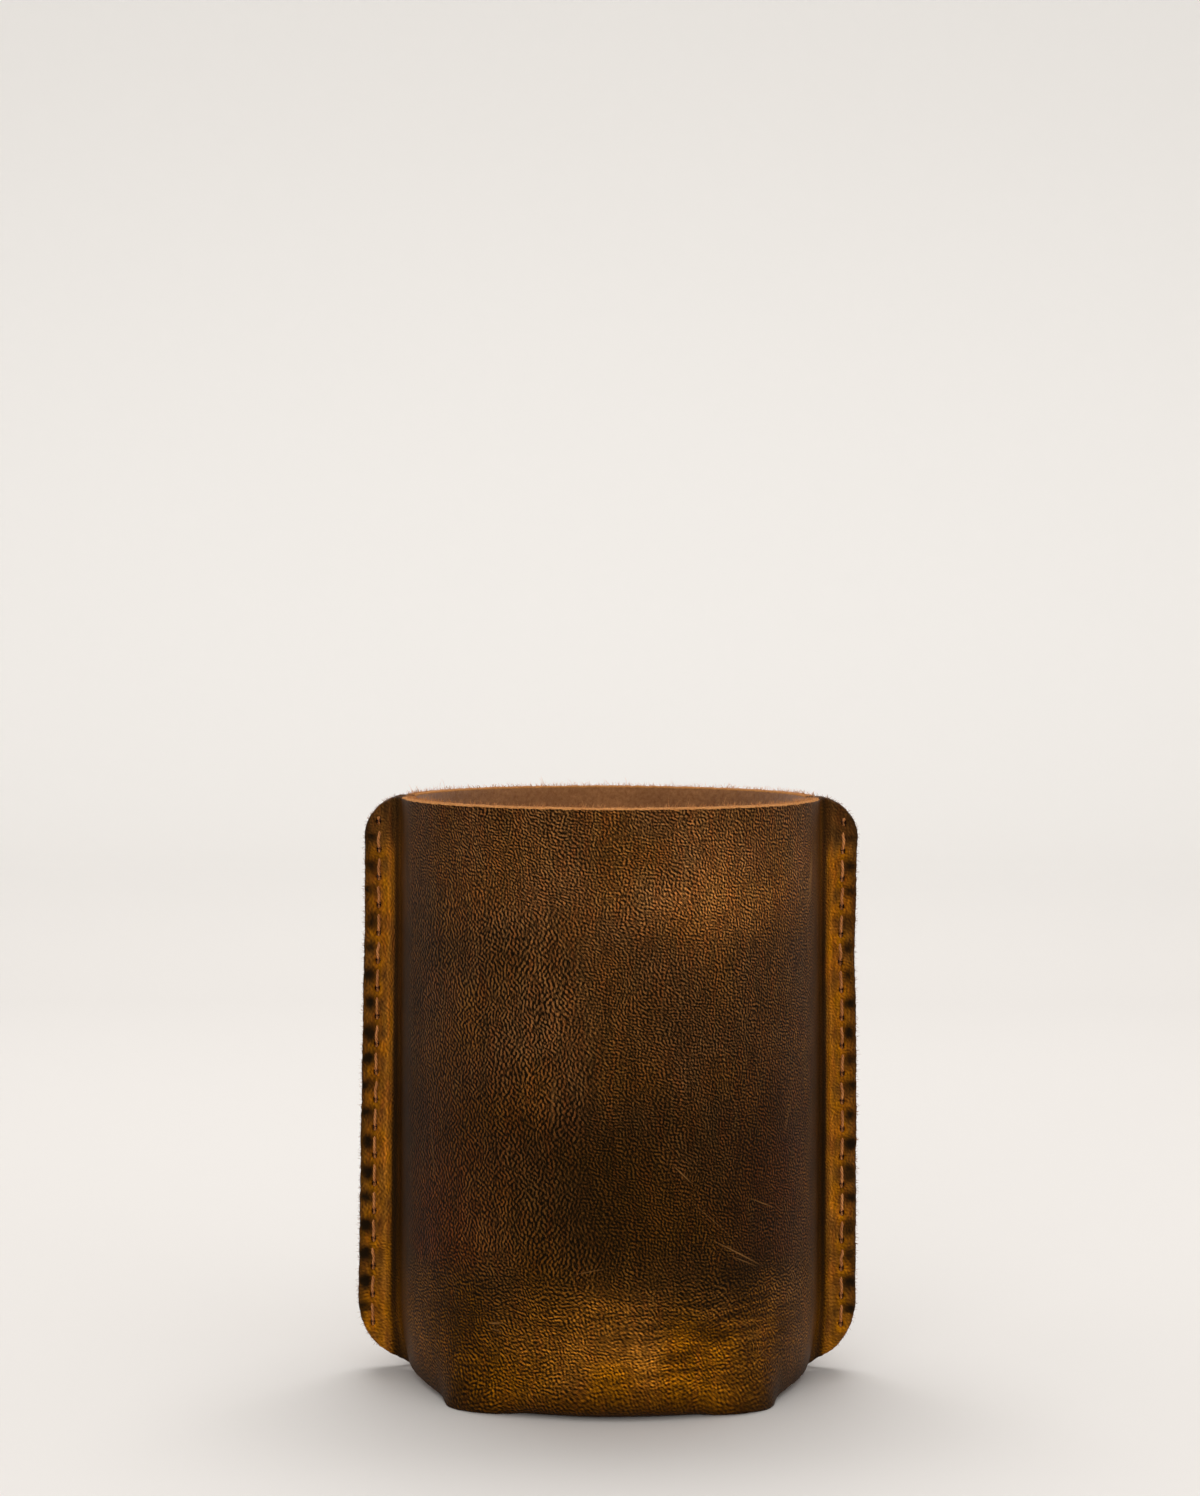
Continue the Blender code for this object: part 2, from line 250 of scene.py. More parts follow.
def relief(u, v):
    """How far the outside of the leather stands out from its plain form, in millimetres."""
    a = np.abs(u)
    w, face = on_wall(v)
    from_hole, from_run, inside = stitch_place(w)
    from_seam = a - SEAM_U
    inset = HALF_WIDTH_FLAT - a
    height = 0.16 * value_noise(u / 17.0, v / 21.0, 1) + 0.06 * value_noise(u / 6.0, v / 9.0, 2)
    height *= fall(a - WALL_ARC + 6.0, 6.0)
    warp = 1.6 * value_noise(u / 9.0, w / 7.0, 3) + 0.0075 * u * u
    folds = np.sin((w + warp) * 2 * math.pi / WRINKLE_SPACING + 2.5 * value_noise(u / 3.0, w / 2.0, 4))
    height += WRINKLE_DEPTH * folds * base_wrinkle_zone(u * face, w)
    groove = bump_at(from_seam, 0.5) * bump_at(from_run + 0.1, 1.5, 4)
    pit = bump_at(from_seam, 0.75) * bump_at(from_hole, 0.7)
    puff = bump_at(from_seam, 1.4) * bump_at(from_hole + 0.9, 1.0)
    height += inside * (STITCH_PUFF * puff - STITCH_GROOVE * groove - STITCH_PIT * pit)
    height -= MARK_DEPTH * presser_marks(a, w)
    height += 0.1 * bump_at(inset - 4.4, 0.9) * (w > 8)
    height -= CREASE_DEPTH * bump_at(a - WALL_ARC - CREASE_LINE, 0.7)
    height -= 0.12 * bump_at(inset, 0.5)
    on_floor = fall(w - FOLD_START + FOLD_ARC, 2.0) * (a < STRAP_WIDTH / 2 + STRAP_CORNER_RADIUS)
    return height * (1 - on_floor) - 0.05 * on_floor


# Mesh spacing, and rounding and roughness of the edges, in millimetres
EDGE_SPACING = 0.5
OUTER_ROUNDING = 0.55
INNER_ROUNDING = 0.3
HOLE_ROUNDING = 0.25
HOLE_INNER_ROUNDING = 0.1
CUT_ROUGHNESS = 0.04
RAGGEDNESS = 0.06

# Zones of points on the outside and the inside: low u, high u, low w, high w, spacing
OUTER_ZONES = (
    (0, WALL_ARC - 1, 23, SLEEVE_HEIGHT, 0.85),
    (0, WALL_ARC - 1, FOLD_START - FOLD_ARC - 1, 23, 0.5),
    (WALL_ARC - 1, HALF_WIDTH_FLAT, 0, SLEEVE_HEIGHT, 0.48),
    (0, STRAP_WIDTH / 2, MIDDLE_V, FOLD_START - FOLD_ARC - 1, 1.2),
)
INNER_ZONES = (
    (0, WALL_ARC - 1, 6, SLEEVE_HEIGHT, 2),
    (0, WALL_ARC - 1, FOLD_START - FOLD_ARC - 1, 6, 1),
    (WALL_ARC - 1, HALF_WIDTH_FLAT, 0, SLEEVE_HEIGHT, 1),
    (0, STRAP_WIDTH / 2, MIDDLE_V, FOLD_START - FOLD_ARC - 1, 2),
)


def arc(centre, radius, start, end):
    steps = max(3, round(math.radians(abs(end - start)) * radius / EDGE_SPACING))
    angles = np.radians(np.linspace(start, end, steps + 1))
    return np.column_stack((centre[0] + radius * np.cos(angles), centre[1] + radius * np.sin(angles)))


def joined(points):
    """The corner points with straight runs between them cut to the edge spacing, last point kept."""
    result = []
    for a, b in zip(points[:-1], points[1:]):
        steps = max(1, round(float(np.linalg.norm(b - a)) / EDGE_SPACING))
        result += [a + (b - a) * step / steps for step in range(steps)]
    return np.array(result + [points[-1]])


def outline_loop():
    """The strip's outline, anticlockwise in u and v."""
    strap_edge = STRAP_WIDTH / 2
    corners = [np.array([[0.0, SLEEVE_HEIGHT]])]
    top = (HALF_WIDTH_FLAT - FLANGE_TOP_RADIUS, SLEEVE_HEIGHT - FLANGE_TOP_RADIUS)
    corners.append(arc(top, FLANGE_TOP_RADIUS, 90, 0))
    bottom = (HALF_WIDTH_FLAT - FLANGE_BOTTOM_RADIUS, WALL_LIFT_AT_FLANGE + FLANGE_BOTTOM_RADIUS)
    corners.append(arc(bottom, FLANGE_BOTTOM_RADIUS, 0, -90))
    notch = (strap_edge + STRAP_CORNER_RADIUS, WALL_LIFT_AT_STRAP - STRAP_CORNER_RADIUS)
    corners.append(arc(notch, STRAP_CORNER_RADIUS, 90, 180))
    corners.append(np.array([[strap_edge, MIDDLE_V]]))
    quarter = joined(np.vstack(corners))
    mirrored = quarter[::-1] * (1, -1) + (0, 2 * MIDDLE_V)
    right = np.vstack((quarter, mirrored[1:]))
    left = right[::-1] * (-1, 1)
    return np.vstack((right, left[1:-1]))[::-1]


def hole_loops():
    """The stitch holes, clockwise, through the front and back layers of both flanges."""
    angles = -np.linspace(0, 2 * math.pi, HOLE_SIDES, endpoint=False)
    shape = np.column_stack((HOLE_HALF_WIDTH * np.cos(angles), HOLE_HALF_HEIGHT * np.sin(angles)))
    heights = TOP_HOLE - STITCH_PITCH * np.arange(HOLE_COUNT)
    places = [(side * SEAM_U, v) for side in (-1, 1) for w in heights for v in (w, 2 * MIDDLE_V - w)]
    return [shape + place for place in places]


def outward(loop):
    """Unit vectors that point out of the leather, in the flat, at every point of a loop."""
    along = np.roll(loop, -1, axis=0) - np.roll(loop, 1, axis=0)
    out = np.column_stack((along[:, 1], -along[:, 0]))
    return out / np.linalg.norm(out, axis=1, keepdims=True)


def lattice(zones):
    """Staggered points all over the strip, at each zone's own spacing."""
    points = []
    for low_u, high_u, low_w, high_w, spacing in zones:
        rows = np.arange(low_w + spacing / 2, high_w, spacing * 0.87)
        for number, w in enumerate(rows):
            u = np.arange(low_u + spacing * (0.25 + 0.5 * (number % 2)), high_u, spacing)
            for side in (-1, 1):
                points.append(np.column_stack((side * u, np.full(len(u), w))))
                points.append(np.column_stack((side * u, np.full(len(u), 2 * MIDDLE_V - w))))
    return np.vstack(points)


def kept_inside(points, loops):
    """The points that are inside the loops and not crowded against them."""
    border, out = np.vstack(loops), np.vstack([outward(loop) for loop in loops])
    tree = kdtree.KDTree(len(border))
    for index, (u, v) in enumerate(border):
        tree.insert((u, v, 0.0), index)
    tree.balance()
    near = np.array([tree.find((u, v, 0.0))[1] for u, v in points])
    inside = ((points - border[near]) * out[near]).sum(axis=1)
    return points[inside < -0.6 * EDGE_SPACING]


def between_loops(points, loops):
    """Whether each point is inside the outline and outside the holes: an odd count of borders above it."""
    start = np.vstack(loops)
    end = np.vstack([np.roll(loop, -1, axis=0) for loop in loops])
    slope = (end[:, 1] - start[:, 1]) / np.where(end[:, 0] == start[:, 0], 1.0, end[:, 0] - start[:, 0])
    odd = np.zeros(len(points), bool)
    for k, (u, v) in enumerate(points):
        spans = (start[:, 0] > u) != (end[:, 0] > u)
        above = start[spans, 1] + slope[spans] * (u - start[spans, 0]) > v
        odd[k] = above.sum() % 2 == 1
    return odd


def flat_sheet(loops, zones):
    """A mesh inside the outline and outside the holes: its points, the loops' first, and its triangles."""
    inner = kept_inside(lattice(zones), loops)
    points = np.vstack(loops + [inner])
    edges, start = [], 0
    for loop in loops:
        edges += [(start + i, start + (i + 1) % len(loop)) for i in range(len(loop))]
        start += len(loop)
    made = geometry.delaunay_2d_cdt([Vector(p) for p in points], edges, [], 0, 1e-6, True)
    if len(made[0]) != len(points):
        raise ValueError("points of the flat sheet were merged")
    first = [ids[0] for ids in made[3]]
    triangles = np.array([[first[i] for i in face] for face in made[2]])
    on_border = np.flatnonzero((triangles < start).all(axis=1))
    middles = points[triangles[on_border]].mean(axis=1)
    triangles = np.delete(triangles, on_border[~between_loops(middles, loops)], axis=0)
    a, b, c = (points[triangles[:, k]] for k in range(3))
    turned = (b[:, 0] - a[:, 0]) * (c[:, 1] - a[:, 1]) < (b[:, 1] - a[:, 1]) * (c[:, 0] - a[:, 0])
    triangles[turned] = triangles[turned][:, ::-1]
    return points, triangles


GRAIN, CUT, FLESH = 0, 1, 2


def edge_profile(outer, inner):
    """How the leather's edge runs from its outside to its inside: (step out in the flat, height h)."""
    t = HALF_THICKNESS
    profile = [(-outer, t)]
    profile += [(-outer * (1 - math.sin(a)), t - outer * (1 - math.cos(a))) for a in (0.5, 1.0)]
    profile += [(0.0, t - outer), (0.0, 0.0), (0.0, inner - t)]
    profile += [(-inner * 0.3, inner * 0.3 - t), (-inner, -t)]
    return profile


def at_top(v):
    """Whether a point of the outline is on the sleeve's top edge."""
    return on_wall(v)[0] > SLEEVE_HEIGHT - 0.1


def build_leather():
    """The closed leather piece.

    Per point: the flat place, the height over the middle, the share of the relief, and how far the grain
    runs on past the flat place. Then the faces and their kinds.
    """
    rough = np.random.default_rng(11)
    outline = outline_loop()
    outline += outward(outline) * rough.uniform(-CUT_ROUGHNESS, CUT_ROUGHNESS, (len(outline), 1))
    holes = hole_loops()
    loops = [outline] + holes
    out = [outward(loop) for loop in loops]
    profiles = [edge_profile(OUTER_ROUNDING, INNER_ROUNDING)]
    profiles += [edge_profile(HOLE_ROUNDING, HOLE_INNER_ROUNDING)] * len(holes)
    skins = []
    for end, zones in ((0, OUTER_ZONES), (-1, INNER_ZONES)):
        moved = [loop + o * p[end][0] for loop, o, p in zip(loops, out, profiles)]
        skins.append(flat_sheet(moved, zones))
    (outer_points, outer_faces), (inner_points, inner_faces) = skins
    count = len(outer_points)
    places = [outer_points, inner_points]
    heights = [np.full(count, HALF_THICKNESS), np.full(len(inner_points), -HALF_THICKNESS)]
    relief_share = [np.ones(count), np.zeros(len(inner_points))]
    spread = [np.zeros((count, 2)), np.zeros((len(inner_points), 2))]
    faces = [outer_faces, inner_faces[:, ::-1] + count]
    kinds = [np.full(len(outer_faces), GRAIN), np.full(len(inner_faces), FLESH)]
    total = count + len(inner_points)
    start = 0
    for number, (loop, o, profile) in enumerate(zip(loops, out, profiles)):
        size = len(loop)
        is_outline = number == 0
        rings = [start + np.arange(size)]
        travelled = 0.0
        for k in range(1, len(profile) - 1):
            step, h = profile[k]
            travelled += math.dist(profile[k], profile[k - 1])
            ragged = rough.uniform(-RAGGEDNESS, RAGGEDNESS, size) * is_outline
            places.append(loop + o * (step + np.minimum(ragged, RAGGEDNESS / 2))[:, None])
            uneven = rough.uniform(-CUT_ROUGHNESS, CUT_ROUGHNESS, size) * is_outline
            heights.append(h + uneven)
            relief_share.append(np.full(size, max(0.0, h / HALF_THICKNESS)))
            reach = travelled if is_outline else 0.1 * travelled
            spread.append(o * (reach + profile[0][0] - step))
            rings.append(total + np.arange(size))
            total += size
        rings.append(count + start + np.arange(size))
        for k, (a, b) in enumerate(zip(rings[:-1], rings[1:])):
            a2, b2 = np.roll(a, -1), np.roll(b, -1)
            faces += [np.column_stack((a, b, b2)), np.column_stack((a, b2, a2))]
            if is_outline:
                mouth = (np.abs(loop[:, 0]) < WALL_ARC + 0.6) & at_top(loop[:, 1])
                kind = np.where((mouth & (k >= 1)) | (k >= 3), CUT, GRAIN)
            else:
                kind = np.full(size, GRAIN if k < 3 else CUT)
            kinds += [kind, kind]
        start += size
    return (
        np.vstack(places),
        np.concatenate(heights),
        np.concatenate(relief_share),
        np.vstack(spread),
        np.vstack(faces),
        np.concatenate(kinds),
    )


def new_mesh(name, points, faces):
    """A mesh from millimetre points and triangles."""
    mesh = bpy.data.meshes.new(name)
    mesh.vertices.add(len(points))
    mesh.vertices.foreach_set("co", (points * MM).astype(np.float32).ravel())
    mesh.loops.add(faces.size)
    mesh.loops.foreach_set("vertex_index", faces.astype(np.int32).ravel())
    mesh.polygons.add(len(faces))
    mesh.polygons.foreach_set("loop_start", np.arange(0, faces.size, 3, dtype=np.int32))
    mesh.update(calc_edges=True)
    mesh.validate()
    return mesh


def set_attribute(mesh, name, kind, values):
    attribute = mesh.attributes.new(name, kind, "POINT")
    key = {"FLOAT": "value", "FLOAT_VECTOR": "vector", "FLOAT_COLOR": "color"}[kind]
    attribute.data.foreach_set(key, values.astype(np.float32).ravel())


def add_piece(name, mesh, slot, *nodes):
    piece = bpy.data.objects.new(name, mesh)
    bpy.context.scene.collection.objects.link(piece)
    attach(piece, "root")
    if nodes:
        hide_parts(*nodes)
    return piece


# How light the wall is at each height, in stops. The dark stops at and below the foot, on the lower half of
# the base fold, are painted shade.
TONE_HEIGHTS = (-6, 0, 5, 9, 13.5, 18, 22, 26, 46, 52, 58, 74, 79, 83, 88, 97.5)
TONES = (-1.4, -1.7, -0.35, -0.05, -0.5, -0.9, -1.4, -1.7, -1.7, -1.2, -0.95, -0.6, -0.1, 0.2, 0.1, -0.2)

# Patches that are lighter (+) or darker (-): u, w, half width, half height, tilt in degrees, stops
TONE_PATCHES = (
    (14, 82, 12, 5, -6, 0.85),
    (15, 77, 7, 3.5, -12, 0.4),
    (18, 91, 15, 7, 0, 0.5),
    (0, 88, 6, 5, 0, -0.35),
    (-15, 77, 8, 6, 0, -0.3),
    (-38, 82, 11, 20, 0, -1.1),
    (-24, 88, 9, 10, 0, -0.2),
    (-42, 50, 8, 26, 0, -0.6),
    (40, 36, 8, 22, 0, 0.75),
    (-24, 34, 12, 10, 0, 0.4),
    (-20, 27, 9, 4, 0, 0.45),
    (-7, 62, 7, 10, 0, 0.45),
    (-11, 52, 5, 4, 0, 0.4),
    (0, 40, 7, 11, 0, -0.6),
    (-6, 31, 9, 6, 0, -0.35),
    (3, 11, 15, 6.5, 0, 1.3),
    (8, 4.5, 18, 3.5, 0, 0.6),
    (0, 19, 9, 3.5, 0, 0.75),
    (13, 20, 5, 2.5, -20, -0.3),
    (22, 23, 6, 2.5, 10, -0.8),
    (27, 17, 8, 2.2, 8, 0.45),
    (-24, 17, 7, 5, 25, -0.5),
    (-17, 25, 10, 2, 25, 0.3),
    # The next two patches, darker at the two base corners, are painted shade.
    (-29, 9, 9, 9, 0, -0.9),
    (31, 6, 6, 5, 0, -0.5),
    (-17, 3.5, 4, 2, 0, 0.9),
    (18, 3.5, 4, 2, 0, 0.9),
)

# Where the leather turns rusty red, with the share instead of stops
RUST_PATCHES = (
    (-32, 26, 11, 20, 0, 0.6),
    (-14, 46, 10, 8, 0, 0.15),
    (30, 36, 9, 16, 0, 0.4),
)

# Scratches, scars and creases: u, w, half length, half width, degrees, strength
SCRATCHES = (
    (11.4, 39.1, 2.6, 0.16, -44, 1.1),
    (21.5, 25.6, 6.5, 0.16, -28, 1.3),
    (22.6, 24.2, 3.6, 0.14, -24, 0.9),
    (26.7, 33, 3.6, 0.15, -22, 1),
    (16.5, 31.5, 6.5, 0.1, -41, 0.6),
    (-18.6, 14.6, 1.7, 0.22, 8, 1.1),
    (-18.4, 13.5, 1.5, 0.16, -10, 0.9),
    (-9, 51, 4.5, 0.35, 86, 0.4),
    (41.5, 85, 5.5, 0.9, 80, 0.7),
    (40, 74, 4, 0.4, 96, 0.4),
    (33, 46, 3.5, 0.2, 70, 0.5),
    (-33, 40, 6, 0.3, 97, 0.3),
    (8, 66, 4, 0.14, 84, 0.4),
    (-3, 24, 3, 0.15, 12, 0.6),
)

# The share of the amber of its stretched fibre that the leather shows at each height
AMBER_HEIGHTS = (-6, 0, 14, 22, 46, 60)
AMBERS = (0.95, 1.0, 0.85, 0.6, 0.35, 0.15)


def patches(u, w, table):
    """The sum of soft oval patches."""
    total = np.zeros(len(u))
    for centre_u, centre_w, half_u, half_w, tilt, amount in table:
        turn = math.radians(tilt)
        along = (u - centre_u) * math.cos(turn) + (w - centre_w) * math.sin(turn)
        up = (w - centre_w) * math.cos(turn) - (u - centre_u) * math.sin(turn)
        total += amount * np.exp(-((along / half_u) ** 2) - (up / half_w) ** 2)
    return total


def finish_and_shade_masks(u, v):
    """Per point: (brightness, amber, dark, rust), and (upright, slanting and level grain, smoothness).
    Brightness and dark also hold painted shade: under the base fold, at the base corners, beside and along
    the creases.

    A smoothness under 0 makes the grain coarser.
    """
    a = np.abs(u)
    w, face = on_wall(v)
    seen_u = u * face
    inset = HALF_WIDTH_FLAT - a
    from_hole, from_run, inside = stitch_place(w)
    tone = np.interp(w, TONE_HEIGHTS, TONES) + patches(seen_u, w, TONE_PATCHES)
    tone += 0.15 * value_noise(u / 4.0, v / 4.5, 31) + 0.12 * value_noise(u / 9.0, v / 9.0, 32)
    rust = 0.1 + patches(seen_u, w, RUST_PATCHES) - 0.5 * fall(w - 20.0, 5.0)
    amber = np.interp(w + 3.0 * value_noise(u / 8.0, v / 8.0, 33), AMBER_HEIGHTS, AMBERS)
    amber += 0.25 * value_noise(u / 6.0, v / 6.0, 34) + 0.35 * (1 - fall(a - WALL_ARC + 14.0, 8.0))
    on_flange = 1 - fall(a - WALL_ARC - CREASE_LINE - 0.3, 0.5)
    top_dark = 1 - fall(w - SLEEVE_HEIGHT + 11.0, 6.0)
    blotches = value_noise(u / 1.3, v / 2.6, 21)
    flange_amber = on_flange * (0.8 + 0.25 * blotches)
    flange_amber += on_flange * inside * 0.4 * bump_at(a - SEAM_U, 1.2) * bump_at(from_hole + 0.7, 1.2)
    flange_amber *= 1 - 0.6 * top_dark
    amber = flange_amber + amber * (1 - on_flange)
    tone = tone * (1 - on_flange) + on_flange * (1.4 + 0.5 * blotches - 1.4 * top_dark)
    tone += on_flange * inside * 0.5 * bump_at(a - SEAM_U, 1.5) * bump_at(from_hole + 0.6, 1.2)
    tone += 0.9 * bump_at(inset - FLANGE_WIDTH + 0.3, 0.35)
    # Darker over the last few millimetres of the wall before each crease: painted shade where the wall
    # turns away from the light.
    tone -= 0.25 * fall(WALL_ARC - 4.0 - a, 6.0) * (1 - on_flange)
    dark = 0.92 + 0.14 * fall(w - 55.0, 15.0) + 0.2 * value_noise(u / 1.1, w / 1.3, 25)
    dark *= presser_marks(a, w) * np.where(seen_u > 0, 0.92, 1.0)
    dark = np.maximum(dark, 0.72 * bump_at(inset, 1.2, 4) * (0.85 + 0.4 * blotches))
    dark = np.maximum(dark, 0.8 * bump_at(inset, 0.4, 3))
    # A dark line along each crease: painted shade where the wall folds over into the flange.
    dark = np.maximum(dark, 0.55 * bump_at(a - WALL_ARC - CREASE_LINE + 0.4, 0.8, 4))
    beside = bump_at(inset - 3.5, 0.6) * bump_at(from_run + 0.6 * value_noise(w / 3.0, a, 24), 1.0)
    dark = np.maximum(dark, 0.6 * inside * beside * (0.6 + 0.5 * value_noise(u / 0.7, v / 4.0, 22)))
    patchy = 0.5 + 0.5 * value_noise(u / 0.7, v / 2.5, 22)
    dark = np.maximum(dark, 0.35 * bump_at(inset - 4.4, 0.7) * patchy)
    dark = np.maximum(dark, 0.45 * on_flange * top_dark * (1 - bump_at(a - SEAM_U, 1.0)))
    wander = 4.0 * value_noise(seen_u / 9.0, w / 9.0, 23)
    level = 1 - fall(26.0 - w + wander, 5.0)
    upright = (1 - level) * fall(seen_u + 7.0 + wander, 6.0) * fall(w - 80.0 + wander, 8.0)
    slanting = 1 - level - upright
    smooth = np.maximum(on_flange * 0.97, 0.85 * (1 - fall(a - WALL_ARC + 11.0, 5.0)))
    smooth = np.maximum(smooth, 0.4 * fall(w - 13.0, 6.0) + 0.35 * fall(w - 2.0, 4.0))
    coarse = 0.3 * fall(w - 66.0, 12.0) * (1 - fall(w - 16.0, 6.0)) + 0.4 * fall(seen_u + 12.0, 12.0)
    smooth -= coarse * (1 - on_flange) * fall(a - WALL_ARC + 11.0, 5.0)
    return (
        np.column_stack((2**tone, amber.clip(0, 1), dark.clip(0, 1), rust.clip(0, 1))),
        np.column_stack((upright, slanting, level, smooth)),
    )


# Short forms for material nodes


def put(tree, kind, inputs=(), **settings):
    """A node with its settings, and its inputs set to values or linked to outputs."""
    node = tree.nodes.new(kind)
    for name, value in settings.items():
        setattr(node, name, value)
    for key, value in dict(inputs).items():
        if isinstance(value, bpy.types.NodeSocket):
            tree.links.new(value, node.inputs[key])
        else:
            node.inputs[key].default_value = value
    return node


def sums(tree, operation, a, b=0.0, c=0.0, clamp=False):
    return put(tree, "ShaderNodeMath", {0: a, 1: b, 2: c}, operation=operation, use_clamp=clamp).outputs[0]


def mixed(tree, factor, a, b):
    node = put(tree, "ShaderNodeMix", {"Factor": factor}, data_type="RGBA")
    for socket, value in ((node.inputs[6], a), (node.inputs[7], b)):
        if isinstance(value, bpy.types.NodeSocket):
            tree.links.new(value, socket)
        else:
            socket.default_value = (*value, 1.0)
    return node.outputs[2]


def ranged(tree, value, low, high, to_low=0.0, to_high=1.0):
    inputs = {"Value": value, "From Min": low, "From Max": high, "To Min": to_low, "To Max": to_high}
    return put(tree, "ShaderNodeMapRange", inputs).outputs[0]


def noise(tree, place, scale, detail=2.0, roughness=0.5):
    inputs = {"Vector": place, "Scale": scale, "Detail": detail, "Roughness": roughness}
    return put(tree, "ShaderNodeTexNoise", inputs).outputs[0]


def vectors(tree, operation, inputs):
    return put(tree, "ShaderNodeVectorMath", inputs, operation=operation).outputs[0]


def mapped(tree, place, scale, degrees=0.0):
    inputs = {"Vector": place, "Rotation": (0.0, 0.0, math.radians(degrees)), "Scale": (*scale, 1.0)}
    return put(tree, "ShaderNodeMapping", inputs).outputs[0]


def attribute(tree, name):
    return put(tree, "ShaderNodeAttribute", attribute_name=name)


def new_material(name, constants):
    """A material with these constants on its shader's sockets: (material, node tree, shader)."""
    material = bpy.data.materials.new(name)
    material.use_nodes = True
    tree = material.node_tree
    shader = tree.nodes["Principled BSDF"]
    for key, value in constants.items():
        shader.inputs[key].default_value = value
    return material, tree, shader


def add_bumps(tree, shader, height, depth, strength=1.0):
    """Bumps that are at most depth millimetres high."""
    bumps = put(tree, "ShaderNodeBump", {"Height": height, "Distance": depth * MM, "Strength": strength})
    tree.links.new(bumps.outputs[0], shader.inputs["Normal"])


def srgb(red, green, blue):
    """Linear colour of an sRGB colour given from 0 to 255."""
    return tuple(
        c / 255 / 12.92 if c <= 10.31 else ((c / 255 + 0.055) / 1.055) ** 2.4 for c in (red, green, blue)
    )


# Leather colours: between the pebbles of the grain and on top of them
BROWN = (srgb(9, 3, 1), srgb(152, 103, 56))
AMBER = (srgb(17, 6, 0), srgb(163, 100, 5))
RUST = (srgb(14, 3, 0), srgb(158, 77, 26))
# Colour of burnished marks and dents, also used for the painted shade of the creases
BURNISH_AND_CREASE_SHADE = srgb(15, 7, 3)
SCRATCHED = srgb(150, 104, 56)

# Width of a pebble of the grain and how far the grain stands out, in millimetres
PEBBLE = 0.2
GRAIN_DEPTH = 0.05

# Upright, slanting and level grain: degrees, length of a pebble to its width, spacing of the ridges
GRAINS = ((-8, 3.6, 0.66), (-38, 2.4, 0.56), (-62, 3.0, 0.6))
RIDGES_IN_A_PATCH = 1.8
RIDGE_ALIKENESS = 0.4


def pebbles(tree, place, degrees, stretch, ridge):
    """Pebbles and ridges along one direction: (0 between them to 1 on top, a random value per pebble)."""
    turned = mapped(tree, place, (1.0, 1.0), degrees)
    scaled = mapped(tree, turned, (1 / PEBBLE, 1 / (PEBBLE * stretch)))
    cells = put(tree, "ShaderNodeTexVoronoi", {"Vector": scaled, "Scale": 1.0}, voronoi_dimensions="2D")
    tops = ranged(tree, cells.outputs["Distance"], 0.7, 0.1)
    inputs = {
        "Vector": turned,
        "Scale": 1 / (RIDGES_IN_A_PATCH * ridge),
        "Frequency": RIDGES_IN_A_PATCH,
        3: RIDGE_ALIKENESS,
        "Orientation 2D": 0.0,
    }
    ridges = put(tree, "ShaderNodeTexGabor", inputs, gabor_type="2D").outputs[0]
    tops = sums(tree, "MULTIPLY_ADD", tops, 0.45, ranged(tree, ridges, 0.25, 0.75, -0.3, 0.85))
    return tops, put(tree, "ShaderNodeSeparateColor", {"Color": cells.outputs["Color"]}).outputs[0]


def scratched(tree, flat):
    """The strength of the scratches at a place."""
    total = 0.0
    for u, w, half_length, half_width, degrees, strength in SCRATCHES:
        place = put(
            tree,
            "ShaderNodeMapping",
            {
                "Vector": flat,
                "Location": (u, w, 0.0),
                "Rotation": (0.0, 0.0, math.radians(degrees)),
                "Scale": (half_length, half_width, 1.0),
            },
            vector_type="TEXTURE",
        ).outputs[0]
        near = put(tree, "ShaderNodeTexGradient", {"Vector": place}, gradient_type="SPHERICAL")
        total = sums(tree, "MULTIPLY_ADD", near.outputs["Fac"], strength, total)
    return total


